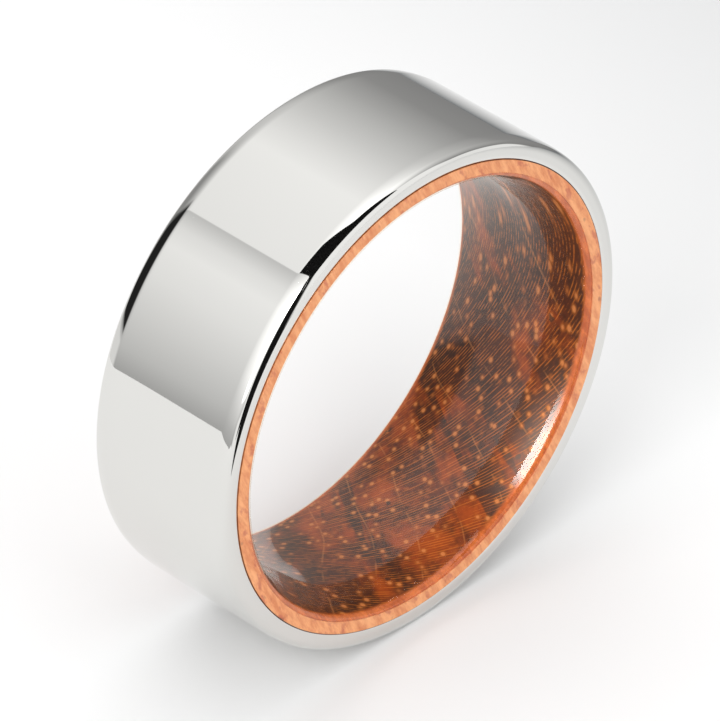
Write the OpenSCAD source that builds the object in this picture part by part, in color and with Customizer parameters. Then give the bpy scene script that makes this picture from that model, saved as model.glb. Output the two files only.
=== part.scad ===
// Wedding band: a flat polished metal band lined with a turned wood sleeve.
// Origin at the ring's centre, ring axis along Y, +Z up, standing on its rim.
// Sections are drawn with x as the radius and y as the place along the ring axis.

/* [Ring size] */
// Bore diameter at the middle of the ring, which sets the finger size
bore_d = 20; // [16:0.1:23]
// Width of the ring between its end faces
band_w = 8; // [6:0.5:10]

/* [Metal band] */
// Thickness of the metal band across its wall
metal_t = 0.87; // [0.7:0.01:1.5]
// Radius of the rounding on the two outer edges
outer_edge_r = 0.28; // [0.1:0.02:0.4]
// Radius of the soft shoulder between the flat outside and that rounding
shoulder_r = 2.4; // [0.6:0.1:3]
// How far the shoulder leans over before the rounding takes over, in degrees
shoulder_angle = 12; // [4:1:20]
// Radial width of the softened strip on the two inner edges, beside the wood
inner_ease_w = 0.19; // [0.1:0.01:0.25]
// Radius of the arc of that softened strip
inner_ease_r = 0.5; // [0.3:0.05:1]

/* [Wood sleeve] */
// Width of the sleeve's flat end face across the wall
sleeve_end_t = 0.6; // [0.4:0.05:1]
// Length of the straight land in the middle of the bore
land_len = 1; // [0.5:0.1:2]
// Radius of the comfort curve from the land to the edges of the bore
dome_r = 10.2; // [8:0.1:20]
// Radius of the rounding where the bore meets the end faces
bore_edge_r = 0.3; // [0.2:0.05:0.5]

/* [Glue and finish] */
// Thickness of the glue between the metal and the wood
glue_t = 0.05; // [0.03:0.01:0.1]
// Depth of the glue line below the end faces
glue_recess = 0.06; // [0.02:0.01:0.1]
// Thickness of the clear finish on the wood
coat_t = 0.06; // [0.03:0.01:0.1]

/* [Hidden] */

half_w = band_w / 2;
half_land = land_len / 2;
bore_r = bore_d / 2;

// The edge rounding touches the comfort curve from inside and the end face,
// so its centre stands dome_r - bore_edge_r from the curve's centre.
dome_x = bore_r + dome_r;
edge_y = half_w - bore_edge_r;
edge_x = dome_x - sqrt(pow(dome_r - bore_edge_r, 2) - pow(edge_y - half_land, 2));
// Angle of the comfort curve where the edge rounding takes over
edge_angle = asin((edge_y - half_land) / (dome_r - bore_edge_r));

sleeve_r = edge_x + sleeve_end_t;
joint_r = sleeve_r + glue_t;
outer_r = joint_r + metal_t;

// The band's edge rounding touches the shoulder from inside in the same way.
rim_x = outer_r - shoulder_r + (shoulder_r - outer_edge_r) * cos(shoulder_angle);
rim_y = half_w - outer_edge_r;
shoulder_y = rim_y - (shoulder_r - outer_edge_r) * sin(shoulder_angle);

// Turns a section about the ring's axis.
module turned() {
    rotate([-90, 0, 0])
        rotate_extrude($fn = 240)
            children();
}

// Section of the sleeve from sleeve_r in to a bore surface that lies the depth
// `cut` under the finished one: land, comfort curves and edge roundings.
module sleeve_section(cut) {
    round_r = bore_edge_r - cut;
    meet_y = edge_y + round_r * sin(edge_angle);
    intersection() {
        union() {
            translate([bore_r + cut, -half_land])
                square([dome_r, land_len]);
            for (end = [-1, 1])
                translate([dome_x, end * half_land])
                    circle(r = dome_r - cut, $fn = 240);
        }
        translate([0, -meet_y])
            square([sleeve_r, 2 * meet_y]);
    }
    translate([edge_x, -half_w])
        square([sleeve_end_t, band_w]);
    for (end = [-1, 1])
        translate([edge_x, end * edge_y])
            circle(r = round_r, $fn = 96);
}

// The band is turned and polished. Its outside is flat up to a soft shoulder and
// a round edge at each end, its end faces are flat, and its inner edges are
// softened where they meet the wood.
module metal_band() {
    shoulder_end_y = shoulder_y + shoulder_r * sin(shoulder_angle);
    color("silver") turned() difference() {
        union() {
            intersection() {
                union() {
                    translate([joint_r, -shoulder_y])
                        square([metal_t, 2 * shoulder_y]);
                    for (end = [-1, 1])
                        translate([outer_r - shoulder_r, end * shoulder_y])
                            circle(r = shoulder_r, $fn = 240);
                }
                translate([joint_r, -shoulder_end_y])
                    square([metal_t, 2 * shoulder_end_y]);
            }
            translate([joint_r, -half_w])
                square([rim_x - joint_r, band_w]);
            for (end = [-1, 1])
                translate([rim_x, end * rim_y])
                    circle(r = outer_edge_r, $fn = 96);
        }
        for (end = [-1, 1]) difference() {
            translate([joint_r, end * half_w])
                square(2 * inner_ease_w, center = true);
            translate([joint_r + inner_ease_w, end * (half_w - inner_ease_r)])
                circle(r = inner_ease_r, $fn = 240);
        }
    }
}

// A thin even tube of glue, which shows as a dark line between metal and wood.
module adhesive_layer() {
    color("#3a2114") turned()
        translate([sleeve_r, glue_recess - half_w])
            square([glue_t, band_w - 2 * glue_recess]);
}

// The sleeve is turned from one piece of hardwood.
module wood_sleeve() {
    color("#8f4a22") turned() sleeve_section(coat_t);
}

// The finish is a hard film over the bore and its rounded edges. The end faces are
// sanded flush with the metal and stay bare.
module clear_coat() {
    color("#d9964f", 0.4) turned() difference() {
        sleeve_section(0);
        sleeve_section(coat_t);
    }
}

metal_band();
adhesive_layer();
wood_sleeve();
clear_coat();
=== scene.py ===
import math

import bpy
from mathutils import Matrix, Vector


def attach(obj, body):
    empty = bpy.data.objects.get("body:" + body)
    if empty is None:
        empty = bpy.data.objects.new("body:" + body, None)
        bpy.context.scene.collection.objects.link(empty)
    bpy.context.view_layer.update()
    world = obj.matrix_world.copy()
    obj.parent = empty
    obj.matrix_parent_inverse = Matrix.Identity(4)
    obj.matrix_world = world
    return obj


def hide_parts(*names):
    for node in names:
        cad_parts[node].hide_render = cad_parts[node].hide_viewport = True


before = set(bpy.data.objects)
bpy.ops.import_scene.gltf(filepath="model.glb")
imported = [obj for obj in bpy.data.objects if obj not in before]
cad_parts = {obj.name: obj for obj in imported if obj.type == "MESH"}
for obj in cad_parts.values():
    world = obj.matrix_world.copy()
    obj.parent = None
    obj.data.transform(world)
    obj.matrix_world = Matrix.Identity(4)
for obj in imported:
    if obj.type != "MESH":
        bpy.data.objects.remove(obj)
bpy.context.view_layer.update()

# ---------------------------------------------------------------- metal band
# A ring of hard white metal, turned from bar stock and polished to a mirror.
# Its outside is flat, with soft shoulders and round edges, and its inner edges
# are eased where the wood sleeve is glued in.

MM = 0.001
HALF_WIDTH = 4 * MM
OUTER_R = 12.3516 * MM
JOINT_R = 11.4816 * MM
SHOULDER_R = 2.4 * MM
SHOULDER_LEAN = math.radians(12)
EDGE_R = 0.28 * MM
EDGE_LEAN = math.radians(65)
FACE_R = 0.6 * MM
EASE_WIDTH = 0.19 * MM
EASE_R = 0.5 * MM
SHOULDER_STEPS = 12
EDGE_STEPS = 14
SOFT_STEPS = 8
BAND_STEPS = 480
# Short holding lines keep the flat zones beside them exactly flat.
HOLD = 0.03 * MM
MERGE = 0.002 * MM


def start_outline(name, radius, along):
    """Starts a section drawing: one point at that radius and place along the axis."""
    bpy.ops.object.select_all(action="DESELECT")
    bpy.ops.mesh.primitive_plane_add(size=MM, location=(radius, along, 0))
    piece = bpy.context.object
    piece.name = name
    bpy.ops.object.transform_apply(location=True, rotation=True, scale=True)
    bpy.ops.object.mode_set(mode="EDIT")
    bpy.ops.mesh.select_mode(type="VERT")
    bpy.ops.mesh.select_all(action="SELECT")
    bpy.ops.mesh.merge(type="CENTER")
    return piece


def line_by(out, along):
    """Draws a straight line on from the last point."""
    bpy.ops.mesh.extrude_region_move(
        TRANSFORM_OT_translate={"value": (out, along, 0)}
    )


def arc_about(radius, along, angle, steps):
    """Draws an arc on from the last point, about a centre in the section."""
    bpy.ops.mesh.spin(
        steps=steps, angle=-angle, center=(radius, along, 0), axis=(0, 0, 1)
    )


def turn(piece, steps, smooth_up_to):
    """Turns the drawn section about the ring's axis and shades it smooth."""
    bpy.ops.mesh.select_all(action="SELECT")
    bpy.ops.mesh.remove_doubles(threshold=MERGE)
    bpy.ops.mesh.select_all(action="SELECT")
    bpy.ops.mesh.spin(
        steps=steps, angle=2 * math.pi, center=(0, 0, 0), axis=(0, 1, 0)
    )
    bpy.ops.mesh.select_all(action="SELECT")
    bpy.ops.mesh.remove_doubles(threshold=MERGE)
    bpy.ops.mesh.select_all(action="SELECT")
    bpy.ops.mesh.normals_make_consistent(inside=False)
    bpy.ops.object.mode_set(mode="OBJECT")
    bpy.ops.object.shade_smooth_by_angle(angle=smooth_up_to)


def new_material(name):
    """An empty node material with its output, and a function that adds nodes."""
    material = bpy.data.materials.new(name)
    material.use_nodes = True
    tree = material.node_tree
    tree.nodes.clear()
    output = tree.nodes.new("ShaderNodeOutputMaterial")

    def add(kind, **settings):
        node = tree.nodes.new(kind)
        for key, value in settings.items():
            if key in node.inputs:
                node.inputs[key].default_value = value
            else:
                setattr(node, key, value)
        return node

    return material, tree, output, add


# Three arcs run into each other: shoulder, edge and the soft start of the face.
rim_x = OUTER_R - SHOULDER_R + (SHOULDER_R - EDGE_R) * math.cos(SHOULDER_LEAN)
face_x = rim_x - (FACE_R - EDGE_R) * math.cos(EDGE_LEAN)
face_y = HALF_WIDTH - FACE_R
rim_y = face_y + (FACE_R - EDGE_R) * math.sin(EDGE_LEAN)
shoulder_y = rim_y - (SHOULDER_R - EDGE_R) * math.sin(SHOULDER_LEAN)
face_lean = math.pi / 2 - EDGE_LEAN
ease_lean = math.asin(EASE_WIDTH / EASE_R)
ease_x = JOINT_R + EASE_WIDTH
ease_y = HALF_WIDTH - EASE_R
bore_half = ease_y + EASE_R * math.cos(ease_lean)

metal = start_outline("band", OUTER_R, -shoulder_y + HOLD)
line_by(0, 2 * (shoulder_y - HOLD))
line_by(0, HOLD)
arc_about(OUTER_R - SHOULDER_R, shoulder_y, SHOULDER_LEAN, SHOULDER_STEPS)
arc_about(rim_x, rim_y, EDGE_LEAN - SHOULDER_LEAN, EDGE_STEPS)
arc_about(face_x, face_y, face_lean, SOFT_STEPS)
line_by(-HOLD, 0)
line_by(ease_x - face_x + 2 * HOLD, 0)
line_by(-HOLD, 0)
arc_about(ease_x, ease_y, ease_lean, SOFT_STEPS)
line_by(0, -2 * bore_half)
arc_about(ease_x, -ease_y, ease_lean, SOFT_STEPS)
line_by(HOLD, 0)
line_by(face_x - ease_x - 2 * HOLD, 0)
line_by(HOLD, 0)
arc_about(face_x, -face_y, face_lean, SOFT_STEPS)
arc_about(rim_x, -rim_y, EDGE_LEAN - SHOULDER_LEAN, EDGE_STEPS)
arc_about(OUTER_R - SHOULDER_R, -shoulder_y, SHOULDER_LEAN, SHOULDER_STEPS)
line_by(0, HOLD)
turn(metal, BAND_STEPS, math.radians(20))

material, tree, output, add = new_material("polished_white_metal")
METAL_COLOUR = (0.72, 0.715, 0.69, 1)
METAL_COLOUR_HAZE = (0.705, 0.70, 0.68, 1)
METAL_ROUGHNESS = 0.03
place = add("ShaderNodeTexCoord")
shader = add("ShaderNodeBsdfPrincipled", Metallic=1.0, Roughness=METAL_ROUGHNESS)
haze = add("ShaderNodeTexNoise", Scale=140.0, Detail=3.0)
tone = add("ShaderNodeMix", data_type="RGBA")
tone.inputs["A"].default_value = METAL_COLOUR
tone.inputs["B"].default_value = METAL_COLOUR_HAZE
tree.links.new(place.outputs["Object"], haze.inputs["Vector"])
tree.links.new(haze.outputs["Fac"], tone.inputs["Factor"])
tree.links.new(tone.outputs["Result"], shader.inputs["Base Color"])
tree.links.new(shader.outputs["BSDF"], output.inputs["Surface"])
metal.data.materials.append(material)
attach(metal, "root")
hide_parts("metal_band")

# ------------------------------------------------------------ adhesive layer
# A thin even tube of dark epoxy that fixes the wood sleeve in the metal band.
# It sits a little below the end faces and shows there as a fine dark line.

SLEEVE_R = 11.4316 * MM
GLUE_HALF = 3.94 * MM
GLUE_STEPS = 240
GLUE_DARK = (0.030, 0.012, 0.007, 1)
GLUE_BROWN = (0.075, 0.030, 0.018, 1)

glue = start_outline("glue_line", SLEEVE_R, -GLUE_HALF)
line_by(JOINT_R - SLEEVE_R, 0)
line_by(0, 2 * GLUE_HALF)
line_by(SLEEVE_R - JOINT_R, 0)
line_by(0, -2 * GLUE_HALF)
turn(glue, GLUE_STEPS, math.radians(30))

material, tree, output, add = new_material("dark_epoxy")
place = add("ShaderNodeTexCoord")
shader = add("ShaderNodeBsdfPrincipled", Roughness=0.45)
grain = add("ShaderNodeTexNoise", Scale=900.0, Detail=3.0)
tone = add("ShaderNodeMix", data_type="RGBA")
tone.inputs["A"].default_value = GLUE_DARK
tone.inputs["B"].default_value = GLUE_BROWN
tree.links.new(place.outputs["Object"], grain.inputs["Vector"])
tree.links.new(grain.outputs["Fac"], tone.inputs["Factor"])
tree.links.new(tone.outputs["Result"], shader.inputs["Base Color"])
tree.links.new(shader.outputs["BSDF"], output.inputs["Surface"])
glue.data.materials.append(material)
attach(glue, "root")
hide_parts("adhesive_layer")

# --------------------------------------------------------------- wood sleeve
# One ring of figured red-brown hardwood, turned on a lathe with a comfort-fit
# bore: a short land in the middle, a curve to each end and rounded edges.
# Its end faces are sanded flush with the metal; the glue holds it in the band.

BORE_R = 10 * MM
HALF_LAND = 0.5 * MM
COMFORT_R = 10.2 * MM
BORE_EDGE_R = 0.3 * MM
COAT_T = 0.06 * MM
BORE_EDGE_STEPS = 12
COMFORT_STEPS = 24
BORE_STEPS = 300
curve_x = BORE_R + COMFORT_R
edge_y = HALF_WIDTH - BORE_EDGE_R
edge_lean = math.asin((edge_y - HALF_LAND) / (COMFORT_R - BORE_EDGE_R))
edge_x = curve_x - (COMFORT_R - BORE_EDGE_R) * math.cos(edge_lean)


def draw_bore():
    """Draws the bore's line on from the front edge to the back one."""
    arc_about(edge_x, -edge_y, edge_lean - math.pi / 2, BORE_EDGE_STEPS)
    arc_about(curve_x, -HALF_LAND, -edge_lean, COMFORT_STEPS)
    line_by(0, HOLD)
    line_by(0, 2 * (HALF_LAND - HOLD))
    line_by(0, HOLD)
    arc_about(curve_x, HALF_LAND, -edge_lean, COMFORT_STEPS)
    arc_about(edge_x, edge_y, edge_lean - math.pi / 2, BORE_EDGE_STEPS)


wood = start_outline("wood_ring", edge_x, -HALF_WIDTH + COAT_T)
draw_bore()
line_by(0, COAT_T)
line_by(HOLD, 0)
line_by(SLEEVE_R - edge_x - HOLD, 0)
line_by(0, -2 * HALF_WIDTH)
line_by(edge_x - SLEEVE_R + HOLD, 0)
line_by(-HOLD, 0)
line_by(0, COAT_T)
turn(wood, BORE_STEPS, math.radians(30))

# The wood's figure is worked out in the solid. The fibres lie across the ring, so
# the bore shows end grain with pores and rays low down and long grain high up.
FIBRE = Vector((0.42, 0.0, -0.907)).normalized()
RAY = Vector((0.788, -0.5, 0.365)).normalized()
RING_WAY = FIBRE.cross(RAY)

material, tree, output, add = new_material("red_brown_hardwood")
link = tree.links.new
place = add("ShaderNodeTexCoord")
TURN = 2 * math.pi


def along_way(way, scale):
    """How far a point of the wood lies along a direction, times a scale."""
    node = add("ShaderNodeVectorMath", operation="DOT_PRODUCT")
    link(place.outputs["Object"], node.inputs[0])
    node.inputs[1].default_value = way * scale
    return node.outputs["Value"]


def wood_space(ray_scale, ring_scale, fibre_scale):
    """Wood directions as a vector: along the rays, along the rings, along the fibres."""
    node = add("ShaderNodeCombineXYZ")
    link(along_way(RAY, ray_scale), node.inputs["X"])
    link(along_way(RING_WAY, ring_scale), node.inputs["Y"])
    link(along_way(FIBRE, fibre_scale), node.inputs["Z"])
    return node.outputs["Vector"]


def noise(space, detail, roughness=0.5, distortion=0.0):
    """Cloudy variation from about 0.2 to 0.8."""
    node = add("ShaderNodeTexNoise", Scale=1.0, Detail=detail, Roughness=roughness)
    node.inputs["Distortion"].default_value = distortion
    link(space, node.inputs["Vector"])
    return node.outputs["Fac"]


def shape(value, low, high, out_low=0.0, out_high=1.0):
    """Turns a range of values into another, and holds it at both ends."""
    node = add("ShaderNodeMapRange", interpolation_type="SMOOTHSTEP")
    node.inputs["From Min"].default_value = low
    node.inputs["From Max"].default_value = high
    node.inputs["To Min"].default_value = out_low
    node.inputs["To Max"].default_value = out_high
    link(value, node.inputs["Value"])
    return node.outputs["Result"]


def combine(operation, first, second):
    """One sum on two values."""
    node = add("ShaderNodeMath", operation=operation)
    for socket, value in zip(node.inputs, (first, second)):
        if isinstance(value, (int, float)):
            socket.default_value = value
        else:
            link(value, socket)
    return node.outputs["Value"]


def paint(factor, under, over):
    """Lays one colour over another."""
    node = add("ShaderNodeMix", data_type="RGBA")
    link(factor, node.inputs["Factor"])
    for name, value in (("A", under), ("B", over)):
        if isinstance(value, tuple):
            node.inputs[name].default_value = value
        else:
            link(value, node.inputs[name])
    return node.outputs["Result"]


# Ground colour: cloudy browns, with dark bands along the growth rings.
clouds = noise(wood_space(500, 500, 120), 4, 0.6)
figure = paint(shape(clouds, 0.36, 0.66), (0.050, 0.007, 0.001, 1), (0.37, 0.060, 0.005, 1))
fine = noise(wood_space(2600, 5200, 500), 4, 0.65)
figure = paint(shape(fine, 0.47, 0.74, 0, 0.45), figure, (0.58, 0.13, 0.010, 1))
bands = noise(wood_space(300, 90, 40), 4, 0.6, 0.5)
figure = paint(shape(bands, 0.48, 0.58, 0, 0.88), figure, (0.022, 0.005, 0.003, 1))

# Dark streaks: narrow ones, also along the growth rings.
streaks = noise(wood_space(800, 110, 50), 3, 0.5, 0.3)
figure = paint(shape(streaks, 0.60, 0.67, 0, 0.85), figure, (0.018, 0.004, 0.003, 1))

# Rays: fine light lines close together, which break off and start again.
sway = noise(wood_space(260, 260, 60), 2)
lines = combine("ADD", along_way(RING_WAY, 7800), combine("MULTIPLY", sway, 2.0))
lines = combine("SINE", combine("MULTIPLY", lines, TURN), 0.0)
broken = noise(wood_space(480, 9000, 2600), 3, 0.6)
rays = combine("MULTIPLY", shape(lines, 0.1, 0.9), shape(broken, 0.42, 0.60))
figure = paint(combine("MULTIPLY", rays, 0.45), figure, (0.92, 0.28, 0.035, 1))

# Growth lines: thin and light, a few millimetres apart.
ring_sway = combine("MULTIPLY", noise(wood_space(90, 140, 40), 1), 1.2)
rings = combine("ADD", along_way(RAY, 480), ring_sway)
rings = combine("SINE", combine("MULTIPLY", rings, TURN / 2), 0.0)
rings = combine("ABSOLUTE", rings, 0.0)
ring_breaks = shape(noise(wood_space(900, 900, 400), 2), 0.4, 0.6)
ring_lines = combine("MULTIPLY", shape(rings, 0.075, 0.03), ring_breaks)
figure = paint(combine("MULTIPLY", ring_lines, 0.2), figure, (0.95, 0.40, 0.13, 1))

# Pores: light dots with a pale halo across the fibres, long streaks along them.
cells = add("ShaderNodeTexVoronoi", Scale=1.0, Randomness=0.95)
link(wood_space(2000, 2000, 110), cells.inputs["Vector"])
halo = shape(cells.outputs["Distance"], 0.42, 0.16)
dot = shape(cells.outputs["Distance"], 0.25, 0.13)
core = shape(cells.outputs["Distance"], 0.085, 0.05)
figure = paint(combine("MULTIPLY", halo, 0.42), figure, (0.60, 0.17, 0.030, 1))
figure = paint(combine("MULTIPLY", dot, 0.52), figure, (0.85, 0.35, 0.11, 1))
figure = paint(combine("MULTIPLY", core, 0.4), figure, (0.60, 0.22, 0.08, 1))

# Dark resin specks.
specks = noise(wood_space(1500, 1500, 900), 2)
figure = paint(shape(specks, 0.70, 0.76, 0, 0.85), figure, (0.02, 0.010, 0.010, 1))

# The sanded end faces are bare, so they are paler and pinker than the bore.
axis = add("ShaderNodeSeparateXYZ")
link(place.outputs["Object"], axis.inputs["Vector"])
bare = shape(combine("ABSOLUTE", axis.outputs["Y"], 0.0), 3.945 * MM, 3.975 * MM)
end_fine = noise(wood_space(3000, 3000, 700), 4, 0.7)
end_tone = paint(shape(end_fine, 0.3, 0.7), (0.70, 0.22, 0.075, 1), (0.93, 0.42, 0.18, 1))
end_flecks = noise(wood_space(1600, 2200, 900), 3, 0.6)
end_tone = paint(shape(end_flecks, 0.56, 0.68, 0, 0.6), end_tone, (0.50, 0.09, 0.05, 1))
end_tone = paint(shape(specks, 0.66, 0.74, 0, 0.5), end_tone, (0.16, 0.035, 0.03, 1))
# The rounded edges are painted a bright clear orange in place of the figure: a painted
# glow, standing in for light that shines through the finish there.
painted_glow_mask = shape(combine("ABSOLUTE", axis.outputs["Y"], 0.0), 3.60 * MM, 3.82 * MM)
painted_edge_glow = paint(shape(end_fine, 0.3, 0.7), (0.46, 0.085, 0.012, 1), (0.76, 0.20, 0.040, 1))
tone = paint(painted_glow_mask, figure, painted_edge_glow)
tone = paint(bare, tone, end_tone)

shader = add("ShaderNodeBsdfPrincipled", Roughness=0.42)
relief = add("ShaderNodeBump", Strength=0.35, Distance=0.00002)
link(combine("ADD", fine, combine("MULTIPLY", dot, 0.6)), relief.inputs["Height"])
link(relief.outputs["Normal"], shader.inputs["Normal"])
link(tone, shader.inputs["Base Color"])
link(shader.outputs["BSDF"], output.inputs["Surface"])
wood.data.materials.append(material)
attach(wood, "root")
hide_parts("wood_sleeve")

# ---------------------------------------------------------------- clear coat
# A hard clear finish, built up in thin layers on the bore and its rounded
# edges and buffed to a gloss. It soaks a hair into the wood that it lies on.

SOAK = 0.01 * MM

coat = start_outline("clear_finish", edge_x, -HALF_WIDTH)
draw_bore()
line_by(SOAK, 0)
line_by(0, -COAT_T - SOAK)
line_by(-SOAK, 0)
arc_about(edge_x, edge_y, math.pi / 2 - edge_lean, BORE_EDGE_STEPS)
arc_about(curve_x, HALF_LAND, edge_lean, COMFORT_STEPS)
line_by(0, -HOLD)
line_by(0, -2 * (HALF_LAND - HOLD))
line_by(0, -HOLD)
arc_about(curve_x, -HALF_LAND, edge_lean, COMFORT_STEPS)
arc_about(edge_x, -edge_y, math.pi / 2 - edge_lean, BORE_EDGE_STEPS)
line_by(SOAK, 0)
line_by(0, -COAT_T - SOAK)
line_by(-SOAK, 0)
turn(coat, BORE_STEPS, math.radians(30))

material, tree, output, add = new_material("gloss_finish")
link = tree.links.new
place = add("ShaderNodeTexCoord")
clear = add("ShaderNodeBsdfTransparent", Color=(0.99, 0.95, 0.88, 1))
gloss = add("ShaderNodeBsdfAnisotropic", Roughness=0.04, Color=(1, 1, 1, 1))
film = add("ShaderNodeMixShader")
FINISH_IOR = 1.40
edge_on = add("ShaderNodeFresnel", IOR=FINISH_IOR)
ripple = add("ShaderNodeTexNoise", Scale=900.0, Detail=3.0)
bump = add("ShaderNodeBump", Strength=0.10, Distance=0.00002)
link(place.outputs["Object"], ripple.inputs["Vector"])
link(ripple.outputs["Fac"], bump.inputs["Height"])
link(bump.outputs["Normal"], gloss.inputs["Normal"])
# Only the outer side of the film shines; seen from within it is just clear.
inside = add("ShaderNodeNewGeometry")
outside = add("ShaderNodeMath", operation="SUBTRACT")
outside.inputs[0].default_value = 1.0
link(inside.outputs["Backfacing"], outside.inputs[1])
shine = add("ShaderNodeMath", operation="MULTIPLY")
link(edge_on.outputs["Fac"], shine.inputs[0])
link(outside.outputs["Value"], shine.inputs[1])
link(shine.outputs["Value"], film.inputs["Fac"])
link(clear.outputs["BSDF"], film.inputs[1])
link(gloss.outputs["BSDF"], film.inputs[2])
link(film.outputs["Shader"], output.inputs["Surface"])
coat.data.materials.append(material)
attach(coat, "root")
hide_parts("clear_coat")

# -------------------------------------------------------------------- studio
# The ring stands on a white table between soft white panels: one over it and
# to the right, one to the left. Dark cards in front and a dim wall behind give
# the polished metal its contrast.


def lay_sheet(name, left, right, front, back, height):
    """A flat rectangle lying level, given by where its four edges are."""
    bpy.ops.object.select_all(action="DESELECT")
    bpy.ops.mesh.primitive_plane_add(size=1, location=(0, 0, 0))
    sheet = bpy.context.object
    sheet.name = name
    bpy.ops.object.mode_set(mode="EDIT")
    bpy.ops.mesh.select_all(action="SELECT")
    bpy.ops.transform.resize(value=(right - left, back - front, 1))
    middle = ((left + right) / 2, (front + back) / 2, height)
    bpy.ops.transform.translate(value=middle)
    bpy.ops.object.mode_set(mode="OBJECT")
    return sheet


# The polished band mirrors the near sheet only; the far one carries it on.
TABLE = -OUTER_R
UNDER = TABLE - 0.02 * MM
FAR = 600 * MM
near = lay_sheet("table_near", -123 * MM, 145 * MM, -52 * MM, 80 * MM, TABLE)
far = lay_sheet("table_far", -FAR, FAR, -FAR, FAR, UNDER)
far.visible_glossy = False
material, tree, output, add = new_material("white_table")
link = tree.links.new
place = add("ShaderNodeTexCoord")
# The table's colour is painted darker towards the right, from 20 mm to 120 mm out: painted
# shade, standing in for less light on the far right of the table.
across = add("ShaderNodeSeparateXYZ")
spread = add("ShaderNodeMapRange")
spread.inputs["From Min"].default_value = 0.02
spread.inputs["From Max"].default_value = 0.12
painted_shade_to_right = add("ShaderNodeMix", data_type="RGBA")
painted_shade_to_right.inputs["A"].default_value = (0.92, 0.92, 0.92, 1)
painted_shade_to_right.inputs["B"].default_value = (0.20, 0.21, 0.22, 1)
shader = add("ShaderNodeBsdfDiffuse")
link(place.outputs["Object"], across.inputs["Vector"])
link(across.outputs["X"], spread.inputs["Value"])
link(spread.outputs["Result"], painted_shade_to_right.inputs["Factor"])
link(painted_shade_to_right.outputs["Result"], shader.inputs["Color"])
link(shader.outputs["BSDF"], output.inputs["Surface"])
near.data.materials.append(material)
far.data.materials.append(material)

# Panels, card and wall are painted on the far surroundings, by direction.
world = bpy.data.worlds.new("studio")
bpy.context.scene.world = world
world.cycles.sampling_method = "NONE"
world.use_nodes = True
tree = world.node_tree
tree.nodes.clear()
link = tree.links.new
output = tree.nodes.new("ShaderNodeOutputWorld")
background = tree.nodes.new("ShaderNodeBackground")
place = tree.nodes.new("ShaderNodeTexCoord")
parts = tree.nodes.new("ShaderNodeSeparateXYZ")
link(place.outputs["Generated"], parts.inputs["Vector"])
direction = place.outputs["Generated"]


def maths(operation, first, second=0.0):
    """One sum in the surroundings' node tree."""
    node = tree.nodes.new("ShaderNodeMath")
    node.operation = operation
    for socket, value in zip(node.inputs, (first, second)):
        if isinstance(value, (int, float)):
            socket.default_value = value
        else:
            link(value, socket)
    return node.outputs["Value"]


def in_front_of(normal, soft, shift):
    """1 on the side of a plane near the ring that its normal points to."""
    dot = tree.nodes.new("ShaderNodeVectorMath")
    dot.operation = "DOT_PRODUCT"
    link(direction, dot.inputs[0])
    dot.inputs[1].default_value = normal
    return step_up(dot.outputs["Value"], -shift - soft, soft - shift)


def step_up(value, low, high):
    """0 below low, 1 above high and even in between."""
    node = tree.nodes.new("ShaderNodeMapRange")
    node.inputs["From Min"].default_value = low
    node.inputs["From Max"].default_value = high
    link(value, node.inputs["Value"])
    return node.outputs["Result"]


def brightness(value, stops):
    """Brightness that changes evenly between stops of (degrees, brightness)."""
    ramp = tree.nodes.new("ShaderNodeValToRGB")
    low, high = stops[0][0], stops[-1][0]
    spread = step_up(value, low, high)
    link(spread, ramp.inputs["Fac"])
    elements = ramp.color_ramp.elements
    for number, (degrees, amount) in enumerate(stops):
        at = (degrees - low) / (high - low)
        if number < 2:
            element = elements[number]
            element.position = at
        else:
            element = elements.new(at)
        element.color = (amount, amount, amount, 1)
    return ramp.outputs["Color"]


def blend(factor, under, over):
    """over where factor is 1 and under where it is 0."""
    node = tree.nodes.new("ShaderNodeMix")
    node.data_type = "FLOAT"
    sockets = (node.inputs[0], node.inputs[2], node.inputs[3])
    for socket, value in zip(sockets, (factor, under, over)):
        if isinstance(value, (int, float)):
            socket.default_value = value
        else:
            link(value, socket)
    return node.outputs[0]


LEFT_EDGE = 115.8
LAMP_BRIGHTNESS = 22.0

# Angle round the ring's axis: 0 to the right, 90 overhead, 180 to the left.
turned = maths("ARCTAN2", maths("MULTIPLY", parts.outputs["X"], -1.0), parts.outputs["Z"])
around = maths("ADD", maths("MULTIPLY", turned, 180 / math.pi), 90.0)

overhead = brightness(
    around,
    [
        (-90, 0.5), (-10, 0.28), (10, 0.34), (26, 0.5),
        (50, 0.8), (66, 1.04), (76, 1.17), (116, 1.1),
    ],
)
left_panel = brightness(
    around,
    [
        (116, 0.72), (124, 1.02), (132, 1.13), (146, 1.04),
        (162, 0.87), (178, 0.68), (190, 0.46), (270, 0.46),
    ],
)
# Both panels are brighter towards the front and dim towards the back.
forwards = maths("MULTIPLY", parts.outputs["Y"], 100)
fade = brightness(
    forwards,
    [
        (-100, 1.6), (18, 1.6), (36, 1.35), (48, 1.15), (55, 1.0),
        (57, 1.0), (70, 0.55), (80, 0.3), (100, 0.3),
    ],
)
high_right = step_up(around, 85, 45)
overhead = maths("MULTIPLY", overhead, blend(high_right, fade, 1.0))
low_left = step_up(around, 160, 182)
left_panel = maths("MULTIPLY", left_panel, blend(low_left, fade, 1.0))

# The main lamp: a bright soft patch in the left panel, towards the front.
lamp = maths("MULTIPLY", step_up(around, 120, 127), step_up(around, 170, 148))
lamp = maths("MULTIPLY", lamp, step_up(parts.outputs["Y"], -0.55, -0.42))
lamp = maths("MULTIPLY", lamp, step_up(parts.outputs["Y"], 0.18, 0.03))
left_panel = blend(lamp, left_panel, LAMP_BRIGHTNESS)
left_side = step_up(around, LEFT_EDGE - 0.2, LEFT_EDGE + 0.2)
light = blend(left_side, overhead, left_panel)

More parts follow.
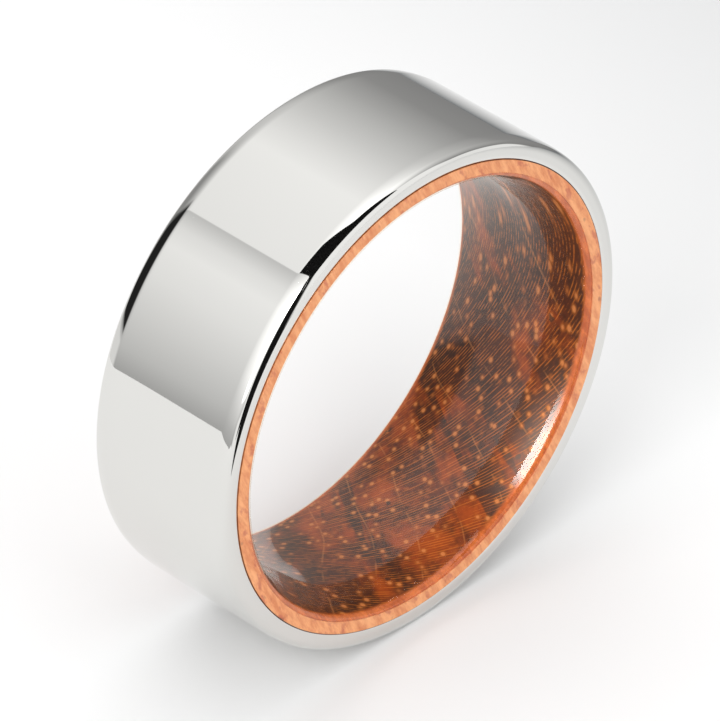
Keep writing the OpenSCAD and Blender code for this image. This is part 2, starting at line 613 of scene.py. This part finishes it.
# Low down: the pale room beyond the table, behind and in front.
to_right = parts.outputs["X"]
to_back = parts.outputs["Y"]
upwards = parts.outputs["Z"]
low_back = maths("MULTIPLY", step_up(upwards, 0.03, 0.0), step_up(to_back, 0.62, 0.68))
low_back = maths("MULTIPLY", low_back, step_up(to_right, 0.72, 0.58))
light = blend(low_back, light, 0.9)
low_front = maths("MULTIPLY", step_up(upwards, 0.0, -0.02), step_up(to_back, -0.5, -0.55))
pale_end = maths("MULTIPLY", step_up(upwards, 0.60, 0.56), step_up(to_back, -0.74, -0.78))
light = blend(low_front, light, 1.05)
light = blend(pale_end, light, 1.15)

# Under the dark card the far end of the room is dark too, down to the table.
past_panel = in_front_of((0.867, -0.434, 0.243), 0.01, 0.0)
gap = blend(left_side, step_up(upwards, 0.42, 0.38), past_panel)
gap = maths("MULTIPLY", gap, step_up(upwards, -0.46, -0.43))
gap = maths("MULTIPLY", gap, step_up(to_back, -0.30, -0.36))
gap = maths("MULTIPLY", gap, in_front_of((-0.876, 0, -0.482), 0.02, 0.115))
light = blend(gap, light, 0.01)
back_card = maths("MULTIPLY", step_up(to_back, 0.64, 0.68), step_up(to_right, -0.24, -0.30))
back_card = maths("MULTIPLY", back_card, step_up(upwards, 0.04, 0.08))
light = blend(back_card, light, 0.02)

# Dull surfaces only get the soft part of this light.
path = tree.nodes.new("ShaderNodeLightPath")
SOFT_LIMIT = 1.3
SOFT_SHARE = 0.77
soft_part = maths("MULTIPLY", maths("MINIMUM", light, SOFT_LIMIT), SOFT_SHARE)
dull = maths("MINIMUM", path.outputs["Diffuse Depth"], 1.0)
light = blend(dull, light, soft_part)
link(light, background.inputs["Color"])
link(background.outputs["Background"], output.inputs["Surface"])


black_card, tree, output, add = new_material("black_card")
shader = add("ShaderNodeBsdfDiffuse", Color=(0.01, 0.01, 0.01, 1))
tree.links.new(shader.outputs["BSDF"], output.inputs["Surface"])


def lay_dark_card(name, left, back, height, sides):
    """A level black sheet that only polished surfaces see, drawn side by side."""
    bpy.ops.object.select_all(action="DESELECT")
    bpy.ops.mesh.primitive_plane_add(size=MM, location=(left, back, height))
    card = bpy.context.object
    card.name = name
    bpy.ops.object.transform_apply(location=True, rotation=True, scale=True)
    bpy.ops.object.mode_set(mode="EDIT")
    bpy.ops.mesh.select_mode(type="VERT")
    bpy.ops.mesh.select_all(action="SELECT")
    bpy.ops.mesh.merge(type="CENTER")
    for right, away in sides:
        line_by(right * MM, away * MM)
    bpy.ops.mesh.select_all(action="SELECT")
    bpy.ops.mesh.edge_face_add()
    bpy.ops.object.mode_set(mode="OBJECT")
    card.data.materials.append(black_card)
    card.visible_camera = False
    card.visible_diffuse = False
    card.visible_shadow = False


# One card hangs over the front half of the ring, with a slanting edge. The other
# lies on the table in front of it.
lay_dark_card(
    "dark_card_over", -20 * MM, 14 * MM, 37 * MM,
    [(9, -3.5), (7, -8.5), (17, -32), (24, -44), (-57, 0)],
)
lay_dark_card(
    "dark_card_on_table", -7 * MM, -26 * MM, TABLE + 0.05 * MM,
    [(9, -1), (6, -9), (6, -20), (-32, 0)],
)


def soft_light(name, place, size, power):
    """A soft white lamp aimed at the ring, which polished surfaces don't show."""
    lamp = bpy.data.lights.new(name, "AREA")
    lamp.size = size
    lamp.energy = power
    holder = bpy.data.objects.new(name, lamp)
    bpy.context.scene.collection.objects.link(holder)
    holder.location = place
    holder.rotation_euler = (-Vector(place)).to_track_quat("-Z", "Y").to_euler()
    holder.visible_glossy = False
    holder.visible_camera = False
    return holder


soft_light("overhead_light", (0.12, 0.18, 0.55), 0.6, 0.85)
soft_light("main_light", (-0.375, -0.1, 0.315), 0.25, 0.65)
soft_light("front_light", (-0.15, -0.6, 0.3), 0.4, 0.9)

# -------------------------------------------------------------------- camera
# A long lens looks down on the ring from the front left.

AZIMUTH = math.radians(-45.84)
ELEVATION = math.radians(36.96)
ROLL = math.radians(0.25)
DISTANCE = 362.3 * MM
SIDE_STEP = 0.0923 * MM
DROP = 0.0093 * MM

back = Vector((
    math.sin(AZIMUTH) * math.cos(ELEVATION),
    -math.cos(AZIMUTH) * math.cos(ELEVATION),
    math.sin(ELEVATION),
))
level_right = (-back).cross(Vector((0, 0, 1))).normalized()
level_up = level_right.cross(-back)
right = level_right * math.cos(ROLL) + level_up * math.sin(ROLL)
up = level_up * math.cos(ROLL) - level_right * math.sin(ROLL)
lens = bpy.data.cameras.new("camera")
lens.lens = 411.98
lens.sensor_width = 36
lens.clip_start = 0.01
lens.clip_end = 10
camera = bpy.data.objects.new("camera", lens)
bpy.context.scene.collection.objects.link(camera)
camera.matrix_world = Matrix((
    (right.x, up.x, back.x, 0),
    (right.y, up.y, back.y, 0),
    (right.z, up.z, back.z, 0),
    (0, 0, 0, 1),
))
camera.location = back * DISTANCE + right * SIDE_STEP - up * DROP
bpy.context.scene.camera = camera
bpy.context.scene.view_settings.view_transform = "Standard"
